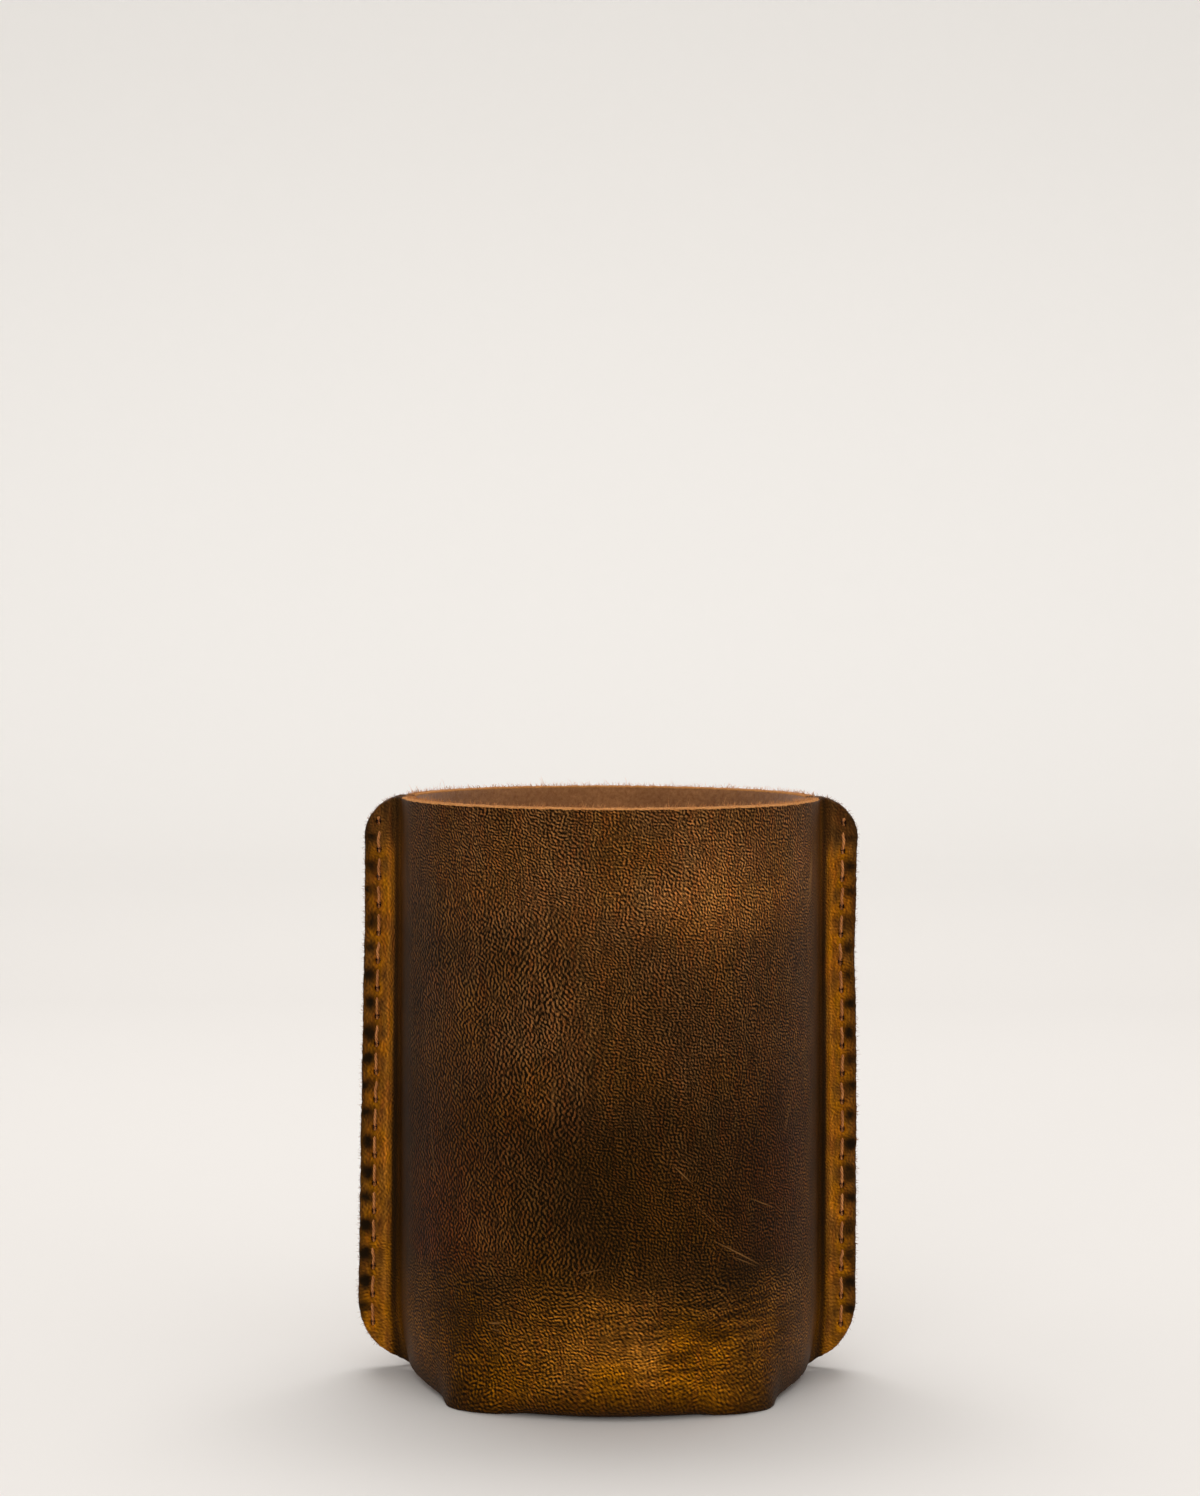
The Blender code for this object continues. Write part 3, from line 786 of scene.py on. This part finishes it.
def grain_material():
    constants = {"Specular IOR Level": 0.1, "Specular Tint": (1.0, 0.6, 0.25, 1.0)}
    material, tree, shader = new_material("grain_leather", constants)
    flat = attribute(tree, "flat").outputs["Vector"]
    finish_and_shade = attribute(tree, "finish_and_shade")
    masks = put(tree, "ShaderNodeSeparateColor", {"Color": finish_and_shade.outputs["Color"]})
    flow_source = attribute(tree, "grain_flow")
    flow = put(tree, "ShaderNodeSeparateColor", {"Color": flow_source.outputs["Color"]})
    bright, amber, dark = masks.outputs[0], masks.outputs[1], masks.outputs[2]
    smooth = flow_source.outputs["Alpha"]

    bend = put(tree, "ShaderNodeTexNoise", {"Vector": flat, "Scale": 0.12, "Detail": 0.0})
    bent = vectors(tree, "SUBTRACT", {0: bend.outputs["Color"], 1: (0.5, 0.5, 0.5)})
    place = vectors(tree, "ADD", {0: flat, 1: vectors(tree, "SCALE", {0: bent, 3: 1.6})})

    grain, each = 0.0, 0.0
    for share, form in zip(flow.outputs, GRAINS):
        tops, own = pebbles(tree, place, *form)
        grain = sums(tree, "MULTIPLY_ADD", tops, share, grain)
        each = sums(tree, "MULTIPLY_ADD", own, share, each)
    fine = noise(tree, flat, 3.0, 2.0, 0.6)
    height = sums(tree, "MULTIPLY_ADD", sums(tree, "SUBTRACT", fine, 0.5), 0.3, grain)
    flattened = sums(tree, "MULTIPLY_ADD", smooth, -0.8, 1.0)
    level = sums(tree, "MULTIPLY_ADD", sums(tree, "SUBTRACT", height, 0.5), flattened, 0.5, clamp=True)
    lit = sums(tree, "POWER", level, 2.1)
    brown = mixed(tree, lit, *BROWN)
    rust = mixed(tree, lit, *RUST)
    gold = mixed(tree, lit, *AMBER)
    veins = noise(tree, mapped(tree, place, (0.9, 0.14)), 1.0, 3.0, 0.65)
    rusty = sums(tree, "MULTIPLY_ADD", veins, 1.6, finish_and_shade.outputs["Alpha"])
    rusty = ranged(tree, rusty, 0.75, 1.7)
    colour = mixed(tree, rusty, mixed(tree, amber, brown, gold), rust)
    streaks = noise(tree, mapped(tree, flat, (0.5, 0.13)), 1.0, 4.0, 0.65)
    cloud = ranged(tree, streaks, 0.3, 0.7, 0.68, 1.32)
    varied = ranged(tree, each, 0.0, 1.0, 0.8, 1.2)
    bright = sums(tree, "MULTIPLY", bright, sums(tree, "MULTIPLY", cloud, varied))
    # Lighter and darker bands along the base wrinkles: painted light and shade of the folds.
    folds = noise(tree, mapped(tree, place, (0.11, 1.1), 10), 1.0, 2.0, 0.5)
    folds = ranged(tree, folds, 0.35, 0.65, -0.6, 0.65)
    wrinkled = attribute(tree, "wrinkled").outputs["Fac"]
    folds = sums(tree, "MULTIPLY_ADD", folds, wrinkled, 1.0)
    bright = sums(tree, "MULTIPLY", bright, folds)
    colour = vectors(tree, "SCALE", {0: colour, 3: bright})
    scratch = sums(tree, "MULTIPLY", scratched(tree, flat), 0.6, clamp=True)
    colour = mixed(tree, scratch, colour, SCRATCHED)
    # Burnished and dented places, and the painted shade of the creases, darken the colour.
    colour = mixed(tree, dark, colour, BURNISH_AND_CREASE_SHADE)
    tree.links.new(colour, shader.inputs["Base Color"])
    shine = sums(tree, "MULTIPLY_ADD", level, -0.1, 0.66)
    tree.links.new(sums(tree, "MULTIPLY_ADD", smooth, -0.06, shine), shader.inputs["Roughness"])
    add_bumps(tree, shader, level, GRAIN_DEPTH)
    return material


# The other sides of the leather: raw cut, burnished cut, flesh side and loose fibres. The burnished cut is
# painted darker than its own colour, as shade on the edges under the wall.
RAW_EDGE = (srgb(150, 88, 40), srgb(226, 158, 88))
BURNISHED_AND_SHADED_EDGE = srgb(40, 21, 9)
FLESH_NAP = (srgb(138, 88, 48), srgb(188, 132, 82))
FLESH_CLOUD = srgb(118, 74, 40)
FIBRES = (srgb(110, 62, 26), srgb(226, 160, 98))


def cut_edge_material():
    material, tree, shader = new_material("cut_edge", {"Roughness": 0.85, "Specular IOR Level": 0.2})
    flat = attribute(tree, "flat").outputs["Vector"]
    burnish_and_shade = attribute(tree, "burnish_and_shade").outputs["Fac"]
    strands = noise(tree, flat, 2.4, 4.0, 0.7)
    colour = mixed(tree, ranged(tree, strands, 0.3, 0.7), *RAW_EDGE)
    # Burnished cut edges, darkened further with painted shade.
    colour = mixed(tree, burnish_and_shade, colour, BURNISHED_AND_SHADED_EDGE)
    tree.links.new(colour, shader.inputs["Base Color"])
    add_bumps(tree, shader, strands, 0.25)
    return material


def flesh_material():
    constants = {"Roughness": 0.9, "Specular IOR Level": 0.15, "Sheen Weight": 0.3}
    material, tree, shader = new_material("flesh_side", constants)
    flat = attribute(tree, "flat").outputs["Vector"]
    nap = noise(tree, flat, 1.1, 5.0, 0.75)
    cloud = noise(tree, flat, 0.08, 3.0, 0.6)
    colour = mixed(tree, ranged(tree, nap, 0.3, 0.7), *FLESH_NAP)
    colour = mixed(tree, ranged(tree, cloud, 0.35, 0.75, 0.0, 0.5), colour, FLESH_CLOUD)
    tree.links.new(colour, shader.inputs["Base Color"])
    add_bumps(tree, shader, nap, 0.3, 0.8)
    return material


# How low the leather may reach, and how far apart its sides are in the noises' space, in millimetres
LOWEST = 0.02
FLESH_SHIFT = 300.0


def add_leather():
    places, heights, share, spread, faces, kinds = build_leather()
    u, v = places[:, 0], places[:, 1]
    lifted = relief(u, v) * share
    points, _ = formed(u, v, heights + lifted)
    points[:, 2] = np.maximum(points[:, 2], LOWEST)
    mesh = new_mesh("leather_sleeve", points, faces)
    mesh.polygons.foreach_set("material_index", kinds.astype(np.int32))
    mesh.polygons.foreach_set("use_smooth", np.ones(len(faces), bool))
    flat = np.column_stack((u + spread[:, 0], v + spread[:, 1], (heights < 0) * FLESH_SHIFT))
    finish_and_shade, flow = finish_and_shade_masks(u, v)
    w, _ = on_wall(v)
    mouth = (np.abs(u) < WALL_ARC + 1.0) & (w > SLEEVE_HEIGHT - 3)
    set_attribute(mesh, "flat", "FLOAT_VECTOR", flat)
    set_attribute(mesh, "finish_and_shade", "FLOAT_COLOR", finish_and_shade)
    set_attribute(mesh, "grain_flow", "FLOAT_COLOR", flow)
    # All cut edges but the mouth's are burnished and darkened with painted shade.
    set_attribute(mesh, "burnish_and_shade", "FLOAT", np.where(mouth, 0.0, 0.9))
    set_attribute(mesh, "wrinkled", "FLOAT", base_wrinkle_zone(u, w))
    for material in (grain_material(), cut_edge_material(), flesh_material()):
        mesh.materials.append(material)
    return add_piece("leather_sleeve", mesh, "leather", "leather_body")


# Loose fibres of the cut edges: how many, shortest and longest, in millimetres
MOUTH_FIBRES = (1500, 0.25, 0.95)
LONG_MOUTH_FIBRES = (26, 1.2, 2.2)
SIDE_FIBRES = (1300, 0.25, 0.8)
FIBRE_RADIUS = 0.06
FIBRE_RINGS = 4


def fibre(root, out, sideways, length, radius):
    """A curved strand that tapers to its tip: its points and faces."""
    across = np.cross(out, sideways)
    points = []
    for ring in range(FIBRE_RINGS):
        share = ring / FIBRE_RINGS
        middle = root + out * length * share + sideways * length * share**2
        for angle in (0.0, 2 * math.pi / 3, 4 * math.pi / 3):
            reach = radius * (1 - 0.7 * share)
            points.append(middle + reach * (math.cos(angle) * sideways + math.sin(angle) * across))
    points.append(root + (out + sideways) * length)
    faces = [(0, 2, 1)]
    for ring in range(FIBRE_RINGS):
        for k in range(3):
            a, b = 3 * ring + k, 3 * ring + (k + 1) % 3
            if ring == FIBRE_RINGS - 1:
                faces.append((a, b, 3 * FIBRE_RINGS))
            else:
                faces += [(a, b, b + 3), (a, b + 3, a + 3)]
    return points, faces


def fibre_material():
    material, tree, shader = new_material("loose_fibres", {"Roughness": 0.8, "Specular IOR Level": 0.2})
    pale = attribute(tree, "pale").outputs["Fac"]
    tree.links.new(mixed(tree, pale, *FIBRES), shader.inputs["Base Color"])
    return material


def add_fibres():
    """Short strands all along the cut edges of the mouth and of the flanges."""
    choice = np.random.default_rng(8)
    outline = outline_loop()
    out = outward(outline)
    at_mouth = at_top(outline[:, 1]) & (np.abs(outline[:, 0]) < WALL_ARC + 1.0)
    at_side = ~at_mouth & (on_wall(outline[:, 1])[0] > FOLD_START)
    points, faces, pale = [], [], []
    sets = (
        (at_mouth, MOUTH_FIBRES, 0.75),
        (at_mouth, LONG_MOUTH_FIBRES, 1.0),
        (at_side, SIDE_FIBRES, 0.25),
    )
    for where, (count, shortest, longest), paleness in sets:
        spots = choice.choice(np.flatnonzero(where), count)
        slide = choice.uniform(-0.25, 0.25, (count, 1))
        along = np.column_stack((-out[spots][:, 1], out[spots][:, 0]))
        flat = outline[spots] + along * slide - out[spots] * 0.06
        height = choice.uniform(-0.95, 0.95, count) * (HALF_THICKNESS - 0.15)
        inner, normal = formed(flat[:, 0], flat[:, 1], height)
        outer, _ = formed(*(flat + out[spots] * 0.3).T, height)
        forward = (outer - inner) / np.linalg.norm(outer - inner, axis=1, keepdims=True)
        for k in range(count):
            turn = 2 * choice.normal(0.0, 0.75)
            lean = choice.normal(0.0, 0.45)
            beside = np.cross(forward[k], normal[k])
            direction = forward[k] + beside * lean + normal[k] * choice.normal(0.0, 0.35)
            direction /= np.linalg.norm(direction)
            sideways = np.cross(direction, normal[k] * math.cos(turn) + beside * math.sin(turn))
            sideways *= 0.6 / max(0.3, np.linalg.norm(sideways))
            length = choice.uniform(shortest, longest)
            made, joints = fibre(inner[k], direction, sideways, length, FIBRE_RADIUS)
            faces += [tuple(len(points) + j for j in face) for face in joints]
            points += made
            pale += [min(1.0, max(0.0, paleness + choice.normal(0.0, 0.2)))] * len(made)
    mesh = new_mesh("edge_fibres", np.array(points), np.array(faces))
    set_attribute(mesh, "pale", "FLOAT", np.array(pale))
    mesh.materials.append(fibre_material())
    add_piece("edge_fibres", mesh, "leather")


# Thread, in millimetres
THREAD_RADIUS = 0.27
PLY_DEPTH = 0.17
TWIST_PITCH = 2.3
THREAD_SIDES = 12
THREAD_STEP = 0.16

# Thread colours: dark and light strands, worn strands, and the shade between the plies
STRANDS = (srgb(174, 102, 46), srgb(228, 152, 84))
WORN = srgb(158, 92, 30)
PLY_SHADE = srgb(70, 38, 18)


def thread_line():
    """One thread's way down its seam: (aside, w, height h over the middle of its layer of leather)."""
    surface = HALF_THICKNESS
    knot = -FLANGE_OFFSET
    jitter = np.random.default_rng(3)
    points = []
    for index in range(HOLE_COUNT):
        hole = TOP_HOLE - STITCH_PITCH * index
        lean = jitter.uniform(-0.12, 0.12)
        if index == 0:
            points.append((0.0, hole + 1.1, surface - 0.5))
        points += [
            (0.0, hole + 0.5, surface - 0.1),
            (0.0, hole + 0.3, surface - 0.55),
            (-0.05, hole + 0.2, 0.0),
            (-0.12, hole + 0.1, knot + 0.4),
            (0.0, hole, knot + 0.15),
            (0.12, hole - 0.1, knot + 0.4),
            (0.05, hole - 0.2, 0.0),
            (0.0, hole - 0.32, surface - 0.8),
            (0.0, hole - 0.9, surface - 0.5),
        ]
        if index < HOLE_COUNT - 1:
            points += [
                (lean, hole - 1.5, surface - 0.32),
                (lean, hole - 2.3, surface - 0.06),
                (-lean, hole - 3.2, surface - 0.1),
            ]
    return np.array(points)


def smooth_line(points, step):
    """A Catmull-Rom curve through the points, cut to about equal steps."""
    ends = np.vstack((2 * points[0] - points[1], points, 2 * points[-1] - points[-2]))
    line = []
    for a, b, c, d in zip(ends[:-3], ends[1:-2], ends[2:-1], ends[3:]):
        steps = max(1, math.ceil(np.linalg.norm(c - b) / step))
        for t in np.arange(steps) / steps:
            place = 2 * b + (c - a) * t + (2 * a - 5 * b + 4 * c - d) * t**2
            line.append(0.5 * (place + (3 * b - a - 3 * c + d) * t**3))
    return np.array(line + [points[-1]])


def twisted_tube(line):
    """A closed tube of three twisted plies along a line, with a value that is 1 on a ply and 0 between."""
    along = np.gradient(line, axis=0)
    along /= np.linalg.norm(along, axis=1, keepdims=True)
    side = np.array([1.0, 0.0, 0.0]) - along * along[:, :1]
    side /= np.linalg.norm(side, axis=1, keepdims=True)
    up = np.cross(side, along)
    travelled = np.concatenate(([0.0], np.cumsum(np.linalg.norm(np.diff(line, axis=0), axis=1))))
    angle = np.linspace(0, 2 * math.pi, THREAD_SIDES, endpoint=False)
    phase = 3 * (angle[None, :] - 2 * math.pi * travelled[:, None] / TWIST_PITCH)
    ply = 0.5 + 0.5 * np.cos(phase)
    radius = THREAD_RADIUS * (1 - PLY_DEPTH * (1 - ply))
    ring = radius[:, :, None] * (
        np.cos(angle)[None, :, None] * side[:, None, :] + np.sin(angle)[None, :, None] * up[:, None, :]
    )
    points = (line[:, None, :] + ring).reshape(-1, 3)
    count = len(line)
    first = (np.arange(count - 1)[:, None] * THREAD_SIDES + np.arange(THREAD_SIDES)).ravel()
    turned = (np.arange(count - 1)[:, None] * THREAD_SIDES + np.roll(np.arange(THREAD_SIDES), -1)).ravel()
    faces = [
        np.column_stack((first, turned, turned + THREAD_SIDES)),
        np.column_stack((first, turned + THREAD_SIDES, first + THREAD_SIDES)),
    ]
    fan = np.arange(1, THREAD_SIDES - 1)
    last = (count - 1) * THREAD_SIDES
    faces.append(np.column_stack((np.zeros_like(fan), fan + 1, fan)))
    faces.append(np.column_stack((np.full_like(fan, last), last + fan, last + fan + 1)))
    return points, np.vstack(faces), ply.ravel(), np.repeat(travelled, THREAD_SIDES)


def thread_material():
    constants = {"Roughness": 0.75, "Specular IOR Level": 0.3, "Sheen Weight": 0.08}
    material, tree, shader = new_material("twisted_thread", constants)
    ply = attribute(tree, "ply").outputs["Fac"]
    run = attribute(tree, "run").outputs["Vector"]
    strands = noise(tree, run, 3.0, 3.0, 0.6)
    wear = noise(tree, run, 0.4, 2.0)
    colour = mixed(tree, ranged(tree, strands, 0.3, 0.7), *STRANDS)
    colour = mixed(tree, ranged(tree, wear, 0.4, 0.7, 0.0, 0.7), colour, WORN)
    colour = mixed(tree, ranged(tree, ply, 0.5, 0.0, 0.0, 0.7), colour, PLY_SHADE)
    tree.links.new(colour, shader.inputs["Base Color"])
    add_bumps(tree, shader, strands, 0.06)
    return material


def add_threads():
    line = thread_line()
    material = thread_material()
    for side, sign in (("left", -1), ("right", 1)):
        for kind, face in (("needle", 1), ("bobbin", -1)):
            u = sign * (SEAM_U + line[:, 0])
            v = line[:, 1] if face > 0 else 2 * MIDDLE_V - line[:, 1]
            bed = relief(u, v) * (line[:, 2] > 0.5)
            path, _ = formed(u, v, line[:, 2] + np.minimum(bed, 0.0) * 0.6)
            path = smooth_line(path, THREAD_STEP)
            points, faces, ply, travelled = twisted_tube(path)
            mesh = new_mesh(f"{side}_{kind}_stitching", points, faces)
            mesh.polygons.foreach_set("use_smooth", np.ones(len(faces), bool))
            set_attribute(mesh, "ply", "FLOAT", ply)
            run = np.column_stack((points[:, 0], travelled / 3, points[:, 1]))
            set_attribute(mesh, "run", "FLOAT_VECTOR", run)
            mesh.materials.append(material)
            add_piece(mesh.name, mesh, "thread", f"{side}_{kind}_thread")


# Floor and backdrop, in metres, and how strongly the backdrop's far end glows for the camera
FLOOR_FRONT = -1.6
FLOOR_BACK = 1.1
SWEEP_RADIUS = 0.5
WALL_TOP = 2.4
HALF_STAGE = 2.2
BACKDROP_GLOW = 0.36
PAPER = srgb(226, 222, 218)


def add_stage():
    """A seamless sweep: floor, a wide curve, and a wall behind."""
    profile = [(FLOOR_FRONT, 0.0), (FLOOR_BACK, 0.0)]
    for a in np.linspace(0.1, math.pi / 2, 24):
        profile.append((FLOOR_BACK + SWEEP_RADIUS * math.sin(a), SWEEP_RADIUS - SWEEP_RADIUS * math.cos(a)))
    profile.append((FLOOR_BACK + SWEEP_RADIUS, WALL_TOP))
    points, faces = [], []
    for y, z in profile:
        points += [(-HALF_STAGE, y, z), (HALF_STAGE, y, z)]
    for k in range(len(profile) - 1):
        faces.append((2 * k, 2 * k + 1, 2 * k + 3, 2 * k + 2))
    mesh = bpy.data.meshes.new("backdrop")
    mesh.from_pydata(points, [], faces)
    for polygon in mesh.polygons:
        polygon.use_smooth = True
    constants = {
        "Base Color": (*PAPER, 1.0),
        "Roughness": 0.65,
        "Specular IOR Level": 0.3,
        "Emission Color": (1.0, 0.985, 0.95, 1.0),
    }
    material, tree, shader = new_material("pale_paper", constants)
    path = put(tree, "ShaderNodeLightPath").outputs
    seen = sums(tree, "ADD", path["Is Camera Ray"], path["Is Glossy Ray"])
    seen = sums(tree, "ADD", seen, path["Is Transmission Ray"], clamp=True)
    place = put(tree, "ShaderNodeTexCoord").outputs["Object"]
    depth = put(tree, "ShaderNodeSeparateXYZ", {"Vector": place}).outputs["Y"]
    paler = ranged(tree, depth, 0.5, FLOOR_BACK + SWEEP_RADIUS, 0.0, BACKDROP_GLOW)
    tree.links.new(sums(tree, "MULTIPLY", seen, paler), shader.inputs["Emission Strength"])
    mesh.materials.append(material)
    sweep = bpy.data.objects.new("backdrop", mesh)
    bpy.context.scene.collection.objects.link(sweep)


# Lamps, all turned to the object: name, place and size in metres, watts, colour
LAMPS = (
    ("key", (-0.25, -1.1, 0.3), (0.9, 0.4), 3.6, (1.0, 0.985, 0.96)),
    ("fill", (0.9, -0.8, 0.25), (0.7, 0.4), 1.5, (1.0, 1.0, 1.0)),
    ("top", (0.0, 0.42, 1.13), (0.9, 0.55), 8.0, (1.0, 1.0, 1.0)),
)
LIT_PLACE = (0.0, 0.0, 0.05)

# The sky's strength at the horizon and overhead
SKY = (0.12, 1.0)


def add_light():
    """A sky that is brighter overhead, two wide lamps in front, and one above and behind."""
    world = bpy.data.worlds.new("studio")
    bpy.context.scene.world = world
    world.use_nodes = True
    tree = world.node_tree
    background = tree.nodes["Background"]
    background.inputs["Color"].default_value = (1.0, 0.985, 0.965, 1.0)
    way = put(tree, "ShaderNodeTexCoord").outputs["Generated"]
    up = put(tree, "ShaderNodeSeparateXYZ", {"Vector": way}).outputs["Z"]
    tree.links.new(ranged(tree, up, 0.15, 1.0, *SKY), background.inputs["Strength"])
    for name, place, size, watts, colour in LAMPS:
        light = bpy.data.lights.new(name, "AREA")
        light.shape = "RECTANGLE"
        light.size, light.size_y = size
        light.energy = watts
        light.color = colour
        lamp = bpy.data.objects.new(name, light)
        lamp.location = place
        lamp.rotation_euler = (Vector(LIT_PLACE) - Vector(place)).to_track_quat("-Z", "Y").to_euler()
        bpy.context.scene.collection.objects.link(lamp)


def add_camera():
    camera = bpy.data.cameras.new("camera")
    camera.sensor_width = SENSOR
    camera.lens = FOCAL_PIXELS * SENSOR / max(IMAGE_SIZE)
    camera.clip_start = 0.02
    view = bpy.data.objects.new("camera", camera)
    view.location = Vector(CAMERA_PLACE) * MM
    camera.shift_y = (HORIZON_ROW - IMAGE_SIZE[1] / 2) / max(IMAGE_SIZE)
    view.rotation_euler = (math.radians(90), math.radians(-CAMERA_ROLL), 0.0)
    bpy.context.scene.collection.objects.link(view)
    bpy.context.scene.camera = view


add_camera()
add_stage()
add_light()
add_leather()
add_fibres()
add_threads()
bpy.context.scene.view_settings.view_transform = "Standard"
